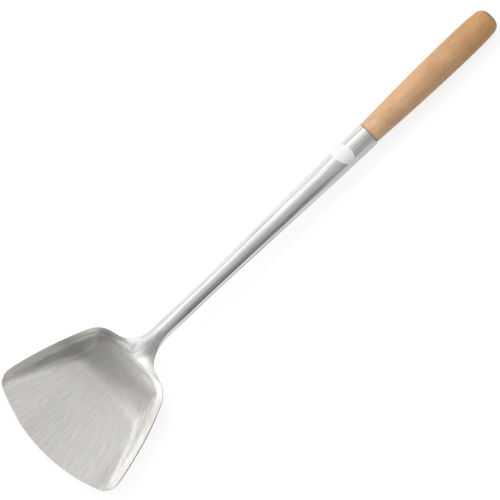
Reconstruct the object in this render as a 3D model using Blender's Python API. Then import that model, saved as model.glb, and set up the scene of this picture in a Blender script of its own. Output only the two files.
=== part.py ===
"""Wok spatula: a pressed steel blade and rolled shank in one sheet, with a turned wooden handle end.

The pieces are modelled along the shank, whose axis is the X axis of the drafting frame.
X = 0 is the crest, where the back wall of the blade turns over into the shank.
The blade lies towards -X and the handle towards +X.
At the end the whole spatula is laid down, so that the heel of the blade and the butt of the
handle rest on z = 0.
"""

import math

import bmesh
import bpy
from mathutils import Vector

# Sheet of the blade and shank
SHEET_THICKNESS = 0.0010

# Outline of the blade, seen square to the shank
BLADE_LENGTH = 0.0965
FRONT_RADIUS = 0.133
FRONT_CORNER_RADIUS = 0.011
SHOULDER_WIDTH = 0.1172
SHOULDER_FROM_CREST = 0.0739
HEEL_WIDTH = 0.0920
HEEL_FROM_CREST = 0.0294
SIDE_RADIUS = 0.300
BACK_CORNER_RADIUS = 0.0194
BACK_EDGE_REACH = 0.0051
BACK_EDGE_SLANT_SHARE = 0.245
NECK_FLARE_RADIUS = 0.021

# Depth of the blade
FLOOR_ANGLE = math.radians(17)
HEEL_RADIUS = 0.027
BACK_WALL_ANGLE = math.radians(39)
PAN_DEPTH = 0.0165
RIDGE_BELOW_AXIS = 0.0015
RIDGE_BEFORE_CREST = 0.0025
RIDGE_RADIUS = 0.083
DISH_RADIUS = 0.200
DISH_LENGTH = 0.012
SIDE_WALL_ANGLE = math.radians(60)
LIP_WIDTH = 0.0047
LIP_ANGLE = math.radians(28)
LIP_BEND = 0.0012
LIP_HEIGHT_SHARE = 0.55
CREST_ANGLE = math.radians(6)
RIM_BELOW_AXIS = 0.0030
RIM_LIFT = 0.0020
RIM_LIFT_LENGTH = 0.025
RIM_LIFT_FROM_CREST = 0.035
FILLET_SHARE = 0.30
FILLET_LIMIT = 0.0045
LIP_FILLET = 0.0016

# Neck and shank
NECK_DIAMETER = 0.0119
SHANK_LENGTH = 0.2300
MOUTH_DIAMETER = 0.0188
NECK_BLEND_SHARE = 0.80
NECK_RISE_START = 0.0030
NECK_RISE_END = 0.0280
NECK_RIM_START = 0.0040
NECK_RIM_LENGTH = 0.0140
FLATTEST_RISE = 0.0005
SEAM_START = 0.0440
SEAM_GAP = 0.0005
TAPER_START = 0.0750

# Wooden handle
HANDLE_LENGTH = 0.1233
HANDLE_START_DIAMETER = 0.0175
HANDLE_WIDEST_DIAMETER = 0.0217
HANDLE_WIDEST_FROM_BUTT = 0.0345
HANDLE_BUTT_DIAMETER = 0.0200
BUTT_CORNER_RADIUS = 0.0065
COLLAR_LENGTH = 0.0012
TENON_LENGTH = 0.0450
TENON_CHAMFER = 0.0015
SOCKET_CLEARANCE = 0.0003

# Nail through the socket into the tenon
NAIL_FROM_MOUTH = 0.0160
NAIL_ANGLE = math.radians(-52)
NAIL_DIAMETER = 0.0018
NAIL_LENGTH = 0.0100
NAIL_POINT_LENGTH = 0.0020
NAIL_HEAD_DIAMETER = 0.0042
NAIL_HEAD_THICKNESS = 0.0008
NAIL_CLEARANCE = 0.0003

# Paper label on the shank
LABEL_LENGTH = 0.0125
LABEL_GIRTH = 0.0202
LABEL_THICKNESS = 0.00015
LABEL_CLEARANCE = 0.0003
LABEL_FROM_MOUTH = 0.0230
LABEL_ANGLE = math.radians(79)

# Fineness of the meshes, in counts
CORNER_ROWS = 3
SIDE_ROWS = 11
BACK_CORNER_ROWS = 8
BACK_EDGE_ROWS = 4
FLARE_ROWS = 11
SEAM_ROWS = 10
LIP_COLUMNS = 4
PAN_COLUMNS = 14
CROWDING_SHARE = 0.5
TURNED_STEPS = 40
HANDLE_RINGS = 16
BUTT_RINGS = 7
NAIL_STEPS = 16
LABEL_RINGS = 4
LABEL_STEPS = 40
SUPPORT_PASSES = 8
SHARP_ANGLE = math.radians(30)
MERGE_DISTANCE = 0.000001

# Colours, roughness and metallic value of the materials
STEEL = ((0.55, 0.55, 0.54, 1.0), 0.28, 1.0)
WOOD = ((0.55, 0.33, 0.17, 1.0), 0.55, 0.0)
NAIL_STEEL = ((0.45, 0.45, 0.46, 1.0), 0.35, 1.0)
PAPER = ((0.85, 0.85, 0.83, 1.0), 0.60, 0.0)


def clear_scene():
    for item in list(bpy.data.objects):
        bpy.data.objects.remove(item, do_unlink=True)


def plain_material(name, colour, roughness, metallic):
    material = bpy.data.materials.new(name)
    material.use_nodes = True
    shader = material.node_tree.nodes["Principled BSDF"]
    shader.inputs["Base Color"].default_value = colour
    shader.inputs["Roughness"].default_value = roughness
    shader.inputs["Metallic"].default_value = metallic
    material.diffuse_color = colour
    return material


def smooth_step(value, start, end):
    """0 before start, 1 after end, and a soft rise between."""
    t = min(max((value - start) / (end - start), 0), 1)
    return t * t * (3 - 2 * t)


def smooth_max(a, b, reach):
    """The larger of a and b, rounded where they differ by less than reach."""
    overlap = max(reach - abs(a - b), 0)
    return max(a, b) + overlap * overlap / (4 * reach)


def smooth_min(a, b, reach):
    return -smooth_max(-a, -b, reach)


def mix(a, b, share):
    return a + (b - a) * share


def shank_taper():
    """How fast the shank's radius grows along it."""
    return (MOUTH_DIAMETER - NECK_DIAMETER) / 2 / (SHANK_LENGTH - TAPER_START)


def shank_radius(x):
    """Outer radius of the shank. It is even up to the start of the taper."""
    return NECK_DIAMETER / 2 + max(x - TAPER_START, 0) * shank_taper()


def circles_meet(centre_a, radius_a, centre_b, radius_b):
    """The two points where two circles in the plan cross."""
    across = centre_b - centre_a
    span = across.length
    along = (radius_a ** 2 - radius_b ** 2 + span ** 2) / (2 * span)
    rise = math.sqrt(radius_a ** 2 - along ** 2)
    foot = centre_a + across * (along / span)
    normal = Vector((-across.y, across.x)) / span
    return foot + normal * rise, foot - normal * rise


class Outline:
    """The left half of the blade's outline in the plan, as arcs that run into each other."""

    def __init__(self):
        self.front = Vector((-BLADE_LENGTH + FRONT_RADIUS, 0))
        shoulder = Vector((-SHOULDER_FROM_CREST, SHOULDER_WIDTH / 2))
        heel = Vector((-HEEL_FROM_CREST, HEEL_WIDTH / 2))
        self.side = min(circles_meet(shoulder, SIDE_RADIUS, heel, SIDE_RADIUS), key=lambda p: p.y)
        meets = circles_meet(self.front, FRONT_RADIUS - FRONT_CORNER_RADIUS,
                             self.side, SIDE_RADIUS - FRONT_CORNER_RADIUS)
        self.corner = max(meets, key=lambda p: p.y)
        self.back_normal = Vector((1, BACK_EDGE_SLANT_SHARE)).normalized()
        reach = self.back_normal.x * BACK_EDGE_REACH
        self.back_corner = self.back_corner_centre(reach - BACK_CORNER_RADIUS)
        flare_y = shank_radius(0) + NECK_FLARE_RADIUS
        flare_x = (reach + NECK_FLARE_RADIUS - self.back_normal.y * flare_y) / self.back_normal.x
        self.flare = Vector((flare_x, flare_y))
        self.rim = self.trace_rim()

    def back_corner_centre(self, offset):
        """Where a line beside the back edge is one corner radius inside the side arc."""
        along = Vector((-self.back_normal.y, self.back_normal.x))
        base = self.back_normal * offset - self.side
        half = along.dot(base)
        rest = base.dot(base) - (SIDE_RADIUS - BACK_CORNER_RADIUS) ** 2
        return self.side + base + along * (math.sqrt(half * half - rest) - half)

    def front_x(self, y):
        """X of the front edge, with half of the rounded corner."""
        tangent = self.front + (self.corner - self.front).normalized() * FRONT_RADIUS
        if y <= tangent.y:
            return self.front.x - math.sqrt(FRONT_RADIUS ** 2 - y * y)
        return self.corner.x - math.sqrt(FRONT_CORNER_RADIUS ** 2 - (y - self.corner.y) ** 2)

    def arc(self, centre, radius, start, end, steps, inward=1):
        """Points of an arc between two directions, each with the outline's outward normal."""
        first = math.atan2(start.y, start.x)
        last = math.atan2(end.y, end.x)
        points = []
        for step in range(steps):
            angle = mix(first, last, step / steps)
            ray = Vector((math.cos(angle), math.sin(angle)))
            points.append((centre + ray * radius, ray * inward))
        return points

    def trace_rim(self):
        """The rim from the middle of the front corner to the end of the neck flare."""
        to_front = (self.corner - self.front).normalized()
        to_side = (self.corner - self.side).normalized()
        to_back = (self.back_corner - self.side).normalized()
        middle = (to_front + to_side).normalized()
        rows = self.arc(self.corner, FRONT_CORNER_RADIUS, middle, to_side, CORNER_ROWS)
        rows += self.arc(self.side, SIDE_RADIUS, to_side, to_back, SIDE_ROWS)
        rows += self.arc(self.back_corner, BACK_CORNER_RADIUS, to_back, self.back_normal, BACK_CORNER_ROWS)
        start = self.back_corner + self.back_normal * BACK_CORNER_RADIUS
        end = self.flare - self.back_normal * NECK_FLARE_RADIUS
        for step in range(BACK_EDGE_ROWS):
            rows.append((start.lerp(end, step / BACK_EDGE_ROWS), self.back_normal))
        last = Vector((0, -1))
        rows += self.arc(self.flare, NECK_FLARE_RADIUS, -self.back_normal, last, FLARE_ROWS, -1)
        return rows

    def centre_stations(self):
        """X on the centre line for each row of the rim, even within each stretch of the rim."""
        ends = (
            (-BLADE_LENGTH, CORNER_ROWS),
            (self.corner.x, SIDE_ROWS),
            (self.back_corner.x - LIP_WIDTH, BACK_CORNER_ROWS),
            (-RIDGE_BEFORE_CREST - LIP_WIDTH, BACK_EDGE_ROWS),
            (-RIDGE_BEFORE_CREST, FLARE_ROWS),
            (self.flare.x, 0),
        )
        stations = []
        for (start, rows), (end, _) in zip(ends, ends[1:]):
            stations += [mix(start, end, step / rows) for step in range(rows)]
        return stations


class Pan:
    """Heights of the blade's upper face over the plan."""

    def __init__(self):
        self.low_z = -RIDGE_BELOW_AXIS - PAN_DEPTH
        self.heel_z = self.low_z + HEEL_RADIUS
        wall_foot_z = self.heel_z - HEEL_RADIUS * math.cos(BACK_WALL_ANGLE)
        wall_run = (-RIDGE_BELOW_AXIS - wall_foot_z) / math.tan(BACK_WALL_ANGLE)
        self.wall_x = -RIDGE_BEFORE_CREST - wall_run
        self.heel_x = self.wall_x - HEEL_RADIUS * math.sin(BACK_WALL_ANGLE)
        self.floor_x = self.heel_x - HEEL_RADIUS * math.sin(FLOOR_ANGLE)
        self.floor_z = self.heel_z - HEEL_RADIUS * math.cos(FLOOR_ANGLE)

    def floor(self, x):
        return self.floor_z + (self.floor_x - x) * math.tan(FLOOR_ANGLE)

    def back_wall(self, x):
        """Floor, heel curve and back wall along the centre line."""
        if x < self.floor_x:
            return self.floor(x)
        if x < self.wall_x:
            return self.heel_z - math.sqrt(HEEL_RADIUS ** 2 - (x - self.heel_x) ** 2)
        return (x + RIDGE_BEFORE_CREST) * math.tan(BACK_WALL_ANGLE) - RIDGE_BELOW_AXIS

    def back(self, x, y):
        """The back wall with its flat lip and slight dish, and the rise of the neck to the shank's top."""
        dish = y * y / (2 * DISH_RADIUS) * smooth_step(x, self.heel_x, self.heel_x + DISH_LENGTH)
        wall = self.back_wall(x)
        if x > self.wall_x:
            ridge_x = -RIDGE_BEFORE_CREST - y * y / (2 * RIDGE_RADIUS)
            lip = self.back_wall(ridge_x) + (x - ridge_x) * math.tan(CREST_ANGLE)
            wall = smooth_min(wall, lip, LIP_FILLET)
        return mix(wall + dish, shank_radius(0), smooth_step(x, NECK_RISE_START, NECK_RISE_END))

    def back_share(self, x):
        """0 along the sides of the blade and 1 at its back."""
        return smooth_step(x, -RIM_LIFT_FROM_CREST, RIM_LIFT_LENGTH - RIM_LIFT_FROM_CREST)

    def rim_height(self, x):
        """Height of the rim over the extended floor."""
        return RIM_LIFT * self.back_share(x) - RIM_BELOW_AXIS - self.floor(x)

    def height(self, x, y, rim_x, distance):
        """The bowl at a point, from the rim's station and the distance to it."""
        rise = self.rim_height(rim_x)
        ridge = self.floor(rim_x) + rise - self.lip_rise(rim_x)
        wall = ridge - (distance - LIP_WIDTH) * math.tan(SIDE_WALL_ANGLE)
        return smooth_max(self.back(x, y), wall, min(FILLET_SHARE * rise, FILLET_LIMIT))

    def lip_rise(self, rim_x):
        slope = mix(math.tan(LIP_ANGLE), math.tan(CREST_ANGLE), self.back_share(rim_x))
        return min(LIP_WIDTH * slope, LIP_HEIGHT_SHARE * self.rim_height(rim_x))


def column_distances():
    """Distances of the columns beside the rim, the last one inside the bend of the lip."""
    last = LIP_WIDTH + LIP_BEND
    return [last * column / LIP_COLUMNS for column in range(LIP_COLUMNS)] + [last]


def softened(value, reach):
    """The positive part of a value, rounded where it passes zero."""
    return smooth_max(value, 0, reach)


def row_shares(reach):
    """Shares of a row from the centre line to the rim, closer together beside the rim."""
    beside = [1 - distance / reach for distance in column_distances()]
    inner = beside[-1]
    shares = []
    for column in range(PAN_COLUMNS):
        part = column / PAN_COLUMNS
        shares.append(inner * mix(part, math.sin(part * math.pi / 2), CROWDING_SHARE))
    return shares + beside[::-1]


def pan_row(outline, pan, centre_x, rim_point, normal, fade, neck):
    """One row of the blade from the centre line to the left rim."""
    centre = Vector((centre_x, 0))
    reach = (rim_point - centre).dot(normal)
    first_rim = outline.rim[0][0]
    points = []
    for share in row_shares(reach):
        spot = centre.lerp(rim_point, share)
        straight = mix(-BLADE_LENGTH, first_rim.x, share)
        spot.x += fade * (outline.front_x(first_rim.y * share) - straight)
        distance = (1 - share) * reach
        inside = LIP_WIDTH + softened(distance - LIP_WIDTH, LIP_BEND)
        base = centre.lerp(rim_point, 1 - inside / reach)
        base.x += spot.x - centre.lerp(rim_point, share).x
        rise = pan.lip_rise(rim_point.x) / LIP_WIDTH * softened(LIP_WIDTH - distance, LIP_BEND)
        z = pan.height(base.x, base.y, rim_point.x, inside) + rise * (1 - neck)
        points.append(Vector((spot.x, spot.y, z)))
    return points


def neck_rim(x):
    """Height of the neck's rim, which climbs from the back of the blade to the axis of the shank."""
    climbed = smooth_step(x, NECK_RIM_START, NECK_RIM_START + NECK_RIM_LENGTH)
    return (RIM_LIFT - RIM_BELOW_AXIS) * (1 - climbed)


def roll_angle(x, half_width, top):
    """How far the sheet is rolled on each side at a station of the neck or the shank."""
    if x < NECK_RISE_END:
        return 2 * math.atan(max(top - neck_rim(x), FLATTEST_RISE) / half_width)
    closed = math.pi - SEAM_GAP / 2 / shank_radius(x)
    return mix(math.pi / 2, closed, smooth_step(x, NECK_RISE_END, SEAM_START))


def rolled_row(centre_x, rim_x, half_width, angle, top):
    """One row of the neck or shank from the top to the left edge of the sheet."""
    radius = half_width / math.sin(min(angle, math.pi / 2))
    columns = PAN_COLUMNS + LIP_COLUMNS
    points = []
    for column in range(columns + 1):
        turn = angle * column / columns
        x = mix(centre_x, rim_x, column / columns)
        points.append(Vector((x, radius * math.sin(turn), top - radius * (1 - math.cos(turn)))))
    return points


def sheet_rows():
    """All rows of the upper and outer face of the sheet, from the front edge to the socket mouth."""
    outline = Outline()
    pan = Pan()
    rows = []
    flare_row = len(outline.rim) - FLARE_ROWS
    for number, ((rim_point, normal), centre_x) in enumerate(zip(outline.rim, outline.centre_stations())):
        neck = smooth_step((number - flare_row) / FLARE_ROWS, 0, NECK_BLEND_SHARE)
        fade = 1 - smooth_step(centre_x, -BLADE_LENGTH, -HEEL_FROM_CREST)
        row = pan_row(outline, pan, centre_x, rim_point, normal, fade, neck)
        if neck > 0:
            top = pan.back(centre_x, 0)
            angle = roll_angle(rim_point.x, rim_point.y, top)
            rolled = rolled_row(centre_x, rim_point.x, rim_point.y, angle, top)
            row = [a.lerp(b, neck) for a, b in zip(row, rolled)]
        rows.append(row)
    stations = [mix(outline.flare.x, SEAM_START, step / SEAM_ROWS) for step in range(SEAM_ROWS + 1)]
    for x in stations + [TAPER_START, SHANK_LENGTH]:
        radius = shank_radius(x)
        top = pan.back(x, 0) if x < NECK_RISE_END else radius
        rows.append(rolled_row(x, x, radius, roll_angle(x, radius, top), top))
    return rows


def mirrored(point):
    return Vector((point.x, -point.y, point.z))


def link_surface(name, bm, material):
    """An open surface as an object, with its faces as they were made."""
    mesh = bpy.data.meshes.new(name)
    bm.to_mesh(mesh)
    bm.free()
    mesh.shade_smooth()
    mesh.materials.append(material)
    item = bpy.data.objects.new(name, mesh)
    bpy.context.scene.collection.objects.link(item)
    return item


def thicken(item, thickness, side):
    """Gives a surface its thickness, below its face or above it."""
    wall = item.modifiers.new("thickness", "SOLIDIFY")
    wall.thickness = thickness
    wall.offset = side
    wall.use_even_offset = True


def turned(name, outline, material, steps):
    """A solid of revolution around the X axis, from the (x, radius) points of its outline."""
    bm = bmesh.new()
    verts = [bm.verts.new((x, 0, -radius)) for x, radius in outline]
    edges = [bm.edges.new(pair) for pair in zip(verts, verts[1:])]
    bmesh.ops.spin(bm, geom=verts + edges, axis=(1, 0, 0), angle=2 * math.pi, steps=steps, use_merge=True)
    bmesh.ops.remove_doubles(bm, verts=bm.verts[:], dist=MERGE_DISTANCE)
    bmesh.ops.recalc_face_normals(bm, faces=bm.faces[:])
    item = link_surface(name, bm, material)
    item.data.set_sharp_from_angle(angle=SHARP_ANGLE)
    return item


def cut(item, cutter):
    """Cuts the shape of a hidden cutter out of a piece."""
    hole = item.modifiers.new("hole", "BOOLEAN")
    hole.operation = "DIFFERENCE"
    hole.solver = "EXACT"
    hole.object = cutter


def blade_and_shank(material):
    """The pressed blade, neck and rolled shank, one sheet from the front edge to the mouth."""
    bm = bmesh.new()
    grid = []
    for row in sheet_rows():
        full = [mirrored(point) for point in row[:0:-1]] + row
        grid.append([bm.verts.new(point) for point in full])
    for row, after in zip(grid, grid[1:]):
        for column in range(len(row) - 1):
            bm.faces.new((row[column], after[column], after[column + 1], row[column + 1]))
    item = link_surface("blade_and_shank", bm, material)
    thicken(item, SHEET_THICKNESS, -1)
    return item


def socket_radius(x):
    """Radius of the tenon at a station inside the socket."""
    return shank_radius(x) - SHEET_THICKNESS - SOCKET_CLEARANCE


def tenon_outline():
    """The tenon from its chamfered inner end to the socket mouth."""
    start = SHANK_LENGTH - TENON_LENGTH
    return [
        (start, 0),
        (start, socket_radius(start) - TENON_CHAMFER),
        (start + TENON_CHAMFER, socket_radius(start + TENON_CHAMFER)),
        (SHANK_LENGTH, socket_radius(SHANK_LENGTH)),
    ]


def grip_outline():
    """The visible handle from the socket mouth to the start of the rounded butt."""
    start = SHANK_LENGTH + SOCKET_CLEARANCE
    butt = SHANK_LENGTH + HANDLE_LENGTH - BUTT_CORNER_RADIUS
    widest = SHANK_LENGTH + HANDLE_LENGTH - HANDLE_WIDEST_FROM_BUTT
    points = [(start, socket_radius(SHANK_LENGTH))]
    for ring in range(HANDLE_RINGS + 1):
        x = mix(start + COLLAR_LENGTH, butt, ring / HANDLE_RINGS)
        if x < widest:
            share = math.sin((x - start - COLLAR_LENGTH) / (widest - start - COLLAR_LENGTH) * math.pi / 2)
            diameter = mix(HANDLE_START_DIAMETER, HANDLE_WIDEST_DIAMETER, share)
        else:
            share = ((x - widest) / (butt - widest)) ** 3
            diameter = mix(HANDLE_WIDEST_DIAMETER, HANDLE_BUTT_DIAMETER, share)
        points.append((x, diameter / 2))
    return points


def butt_outline():
    """The rounded butt and its flat end."""
    centre_x = SHANK_LENGTH + HANDLE_LENGTH - BUTT_CORNER_RADIUS
    centre_r = HANDLE_BUTT_DIAMETER / 2 - BUTT_CORNER_RADIUS
    points = []
    for ring in range(1, BUTT_RINGS + 1):
        angle = ring / BUTT_RINGS * math.pi / 2
        points.append((centre_x + BUTT_CORNER_RADIUS * math.sin(angle),
                       centre_r + BUTT_CORNER_RADIUS * math.cos(angle)))
    points.append((SHANK_LENGTH + HANDLE_LENGTH, 0))
    return points


def wooden_handle(material):
    """The turned handle with its tenon inside the socket."""
    return turned("wooden_handle", tenon_outline() + grip_outline() + butt_outline(), material, TURNED_STEPS)


def place_on_shank(item, x, angle, radius):
    """Puts an object that was made along X on a radius of the shank, pointing outwards."""
    item.location = (x, radius * math.cos(angle), radius * math.sin(angle))
    item.rotation_euler = Vector((0, math.cos(angle), math.sin(angle))).to_track_quat("X", "Y").to_euler()


def handle_nail(material):
    """A small nail with a flat head. Its X axis points out of the shank, from the underside of the head."""
    half = NAIL_DIAMETER / 2
    outline = [
        (-NAIL_LENGTH, 0),
        (NAIL_POINT_LENGTH - NAIL_LENGTH, half),
        (0, half),
        (0, NAIL_HEAD_DIAMETER / 2),
        (NAIL_HEAD_THICKNESS / 2, NAIL_HEAD_DIAMETER / 2),
        (NAIL_HEAD_THICKNESS, NAIL_HEAD_DIAMETER / 2 - NAIL_HEAD_THICKNESS / 2),
        (NAIL_HEAD_THICKNESS, 0),
    ]
    nail = turned("handle_nail", outline, material, NAIL_STEPS)
    x = SHANK_LENGTH - NAIL_FROM_MOUTH
    place_on_shank(nail, x, NAIL_ANGLE, shank_radius(x) + NAIL_CLEARANCE)
    return nail


def nail_hole(material):
    """The cutter of the hole that the nail fills in the socket wall and the tenon."""
    radius = NAIL_DIAMETER / 2 + NAIL_CLEARANCE
    outline = [(-NAIL_LENGTH - NAIL_CLEARANCE, 0), (-NAIL_LENGTH - NAIL_CLEARANCE, radius),
               (NAIL_LENGTH, radius), (NAIL_LENGTH, 0)]
    cutter = turned("nail_hole_cutter", outline, material, NAIL_STEPS)
    x = SHANK_LENGTH - NAIL_FROM_MOUTH
    place_on_shank(cutter, x, NAIL_ANGLE, shank_radius(x) + NAIL_CLEARANCE)
    cutter.hide_render = True
    cutter.display_type = "WIRE"
    return cutter


def label_point(across, along):
    """A point of the label's lower face, from two coordinates of a unit disc."""
    x = SHANK_LENGTH - LABEL_FROM_MOUTH + along * LABEL_LENGTH / 2
    radius = shank_radius(x) + LABEL_CLEARANCE
    angle = LABEL_ANGLE - across * LABEL_GIRTH / 2 / radius
    return (x, radius * math.cos(angle), radius * math.sin(angle))


def size_label(material):
    """A bare oval paper label, wrapped on the face of the shank."""
    bm = bmesh.new()
    centre = bm.verts.new(label_point(0, 0))
    rings = []
    for ring in range(1, LABEL_RINGS + 1):
        share = ring / LABEL_RINGS
        turns = [2 * math.pi * step / LABEL_STEPS for step in range(LABEL_STEPS)]
        rings.append([bm.verts.new(label_point(share * math.sin(a), share * math.cos(a))) for a in turns])
    for step in range(LABEL_STEPS):
        after = (step + 1) % LABEL_STEPS
        bm.faces.new((centre, rings[0][after], rings[0][step]))
        for inner, outer in zip(rings, rings[1:]):
            bm.faces.new((inner[step], inner[after], outer[after], outer[step]))
    item = link_surface("size_label", bm, material)
    thicken(item, LABEL_THICKNESS, 1)
    return item


def drafted_points(items):
    """The corners of all finished pieces in the drafting frame."""
    depsgraph = bpy.context.evaluated_depsgraph_get()
    points = []
    for item in items:
        solid = item.evaluated_get(depsgraph)
        points += [item.matrix_world @ vert.co for vert in solid.to_mesh().vertices]
        solid.to_mesh_clear()
    return points


def resting_angle(points):
    """The slope of the line that touches the blade and the handle from below."""
    angle = 0
    for _ in range(SUPPORT_PASSES):
        def depth(point):
            return point.z * math.cos(angle) - point.x * math.sin(angle)
        heel = min((point for point in points if point.x < 0), key=depth)
        butt = min((point for point in points if point.x > 0), key=depth)
        angle = math.atan2(butt.z - heel.z, butt.x - heel.x)
    return angle


def lay_down(items):
    """Rests the spatula on z = 0 with the middle of its bounding box over the origin."""
    bpy.context.view_layer.update()
    points = drafted_points(items)
    stand = bpy.data.objects.new("resting_pose", None)
    bpy.context.scene.collection.objects.link(stand)
    stand.rotation_euler = (0, resting_angle(points), 0)
    turned_points = [stand.rotation_euler.to_matrix() @ point for point in points]
    xs = [point.x for point in turned_points]
    ys = [point.y for point in turned_points]
    lowest = min(point.z for point in turned_points)
    stand.location = (-(min(xs) + max(xs)) / 2, -(min(ys) + max(ys)) / 2, -lowest)
    return stand


def main():
    clear_scene()
    steel = plain_material("polished_steel", *STEEL)
    nail_steel = plain_material("nail_steel", *NAIL_STEEL)
    sheet = blade_and_shank(steel)
    handle = wooden_handle(plain_material("turned_wood", *WOOD))
    nail = handle_nail(nail_steel)
    hole = nail_hole(nail_steel)
    label = size_label(plain_material("label_paper", *PAPER))
    cut(sheet, hole)
    cut(handle, hole)
    pieces = [sheet, handle, nail, label]
    stand = lay_down(pieces)
    for item in pieces + [hole]:
        item.parent = stand


main()
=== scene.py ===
import math

import bmesh
import bpy
from bpy.props import FloatProperty, FloatVectorProperty, IntProperty, PointerProperty
from mathutils import Matrix, Vector


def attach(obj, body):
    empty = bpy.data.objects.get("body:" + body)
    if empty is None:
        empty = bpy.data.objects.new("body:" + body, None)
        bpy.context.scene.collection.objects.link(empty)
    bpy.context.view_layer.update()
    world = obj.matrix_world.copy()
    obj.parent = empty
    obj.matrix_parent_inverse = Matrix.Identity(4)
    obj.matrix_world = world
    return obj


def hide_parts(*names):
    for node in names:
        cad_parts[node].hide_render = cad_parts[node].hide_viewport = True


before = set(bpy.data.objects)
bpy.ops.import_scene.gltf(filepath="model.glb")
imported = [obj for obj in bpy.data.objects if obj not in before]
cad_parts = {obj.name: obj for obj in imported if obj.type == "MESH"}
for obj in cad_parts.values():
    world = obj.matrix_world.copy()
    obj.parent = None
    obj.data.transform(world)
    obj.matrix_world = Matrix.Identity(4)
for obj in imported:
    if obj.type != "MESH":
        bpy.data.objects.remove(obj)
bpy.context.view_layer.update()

bl_info = {
    "name": "Wok Spatula",
    "version": (1, 0, 0),
    "blender": (4, 5, 0),
    "location": "View3D > Sidebar > Wok Spatula",
    "description": "Dresses a wok spatula's solids with finished steel, wood and paper, and lights them",
    "category": "Add Mesh",
}

# The shank's axis in the frame: the point over the blade's crest, and the way to the handle's butt
CREST = Vector((-0.12825, 0.0, 0.01827))
ALONG = Vector((0.999744, 0.0, -0.022632)).normalized()
ACROSS = Vector((0.0, 1.0, 0.0))
UP = ALONG.cross(ACROSS)

# Where the swell of the right wall begins, where the neck's part of it ends, where it starts to shrink
# towards the mouth, and by how much it has shrunk there
SWELL_START = (0.002, 0.009)
NECK_END = (0.016, 0.030)
MOUTH_SHRINK = (0.195, 0.228)
MOUTH_LOSS = 0.6

# Points closer than the first are merged, and half the sheet tells its outer wall from its inner one
MERGE = 0.000001
HALF_SHEET = 0.0005
WHITE = (1.0, 1.0, 1.0, 1.0)


# Settings

class SteelSettings(bpy.types.PropertyGroup):
    """Sizes and colours of the steel sheet and the nail."""
    edge_round: FloatProperty(
        name="Edge rounding", description="Radius of the sheet's ground edges",
        default=0.00042, min=0.0, unit="LENGTH")
    tube_radius: FloatProperty(
        name="Shank radius", description="Radius of the shank before its taper",
        default=0.00595, unit="LENGTH")
    tube_start: FloatProperty(
        name="Taper start", description="Distance of the shank's taper from the crest",
        default=0.0750, unit="LENGTH")
    tube_end: FloatProperty(
        name="Mouth", description="Distance of the socket's mouth from the crest",
        default=0.2308, unit="LENGTH")
    tube_growth: FloatProperty(
        name="Taper growth", description="How much the shank's radius grows up to the mouth",
        default=0.00345, unit="LENGTH")
    tube_rings: IntProperty(
        name="Rings", description="Rings along the tapered shank", default=14, min=2)
    neck_swell: FloatProperty(
        name="Neck swell", description="How far the rolling drew out the right wall of the neck",
        default=0.0006, unit="LENGTH")
    shank_swell: FloatProperty(
        name="Shank swell", description="How far the rolling drew out the right wall of the shank",
        default=0.0007, unit="LENGTH")
    blade_colour: FloatVectorProperty(
        name="Steel", description="Colour of the brushed steel",
        subtype="COLOR", size=4, default=(0.628, 0.612, 0.580, 1.0), min=0.0, max=1.0)
    nail_from_mouth: FloatProperty(
        name="Nail place", description="Distance of the nail from the mouth",
        default=0.0160, unit="LENGTH")
    nail_angle: FloatProperty(
        name="Nail angle", description="Turn of the nail round the shank, from the left side upwards",
        default=math.radians(-52), subtype="ANGLE")
    nail_head: FloatProperty(
        name="Nail head", description="Diameter of the nail's head", default=0.0042, unit="LENGTH")
    nail_height: FloatProperty(
        name="Nail head height", description="Height of the nail's head", default=0.0009, unit="LENGTH")
    nail_shaft: FloatProperty(
        name="Nail shaft", description="Diameter of the nail's shaft", default=0.0018, unit="LENGTH")
    nail_length: FloatProperty(
        name="Nail length", description="Length of the nail's shaft", default=0.0100, unit="LENGTH")


class HandleSettings(bpy.types.PropertyGroup):
    """Sizes and colours of the turned wooden handle."""
    start: FloatProperty(
        name="Start", description="Distance of the bare wood from the crest",
        default=0.2311, unit="LENGTH")
    length: FloatProperty(
        name="Length", description="Length of the bare wood", default=0.1222, unit="LENGTH")
    tenon: FloatProperty(
        name="Tenon", description="Length of the tenon in the socket", default=0.0440, unit="LENGTH")
    tenon_radius: FloatProperty(
        name="Tenon radius", description="Radius of the tenon at the mouth", default=0.0081, unit="LENGTH")
    tenon_end: FloatProperty(
        name="Tenon end radius", description="Radius of the tenon's inner end",
        default=0.0071, unit="LENGTH")
    start_radius: FloatProperty(
        name="Radius at the mouth", description="Radius where the bare wood starts",
        default=0.00875, unit="LENGTH")
    widest_radius: FloatProperty(
        name="Widest radius", description="Radius of the swell", default=0.01085, unit="LENGTH")
    widest_from_butt: FloatProperty(
        name="Swell place", description="Distance of the swell from the butt",
        default=0.0345, unit="LENGTH")
    butt_radius: FloatProperty(
        name="Butt radius", description="Radius at the butt before its rounding",
        default=0.0100, unit="LENGTH")
    corner: FloatProperty(
        name="Butt rounding", description="Length of the butt's rounding", default=0.0075, unit="LENGTH")
    corner_depth: FloatProperty(
        name="Butt rounding depth", description="How far the rounding draws the butt in",
        default=0.0072, unit="LENGTH")
    steps: IntProperty(name="Steps", description="Steps round the handle", default=96, min=12)
    wood_colour: FloatVectorProperty(
        name="Wood", description="Colour of the light wood", subtype="COLOR", size=4,
        default=(0.73, 0.45, 0.245, 1.0), min=0.0, max=1.0)
    grain_colour: FloatVectorProperty(
        name="Grain", description="Colour of the darker grain", subtype="COLOR", size=4,
        default=(0.56, 0.315, 0.160, 1.0), min=0.0, max=1.0)


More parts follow.
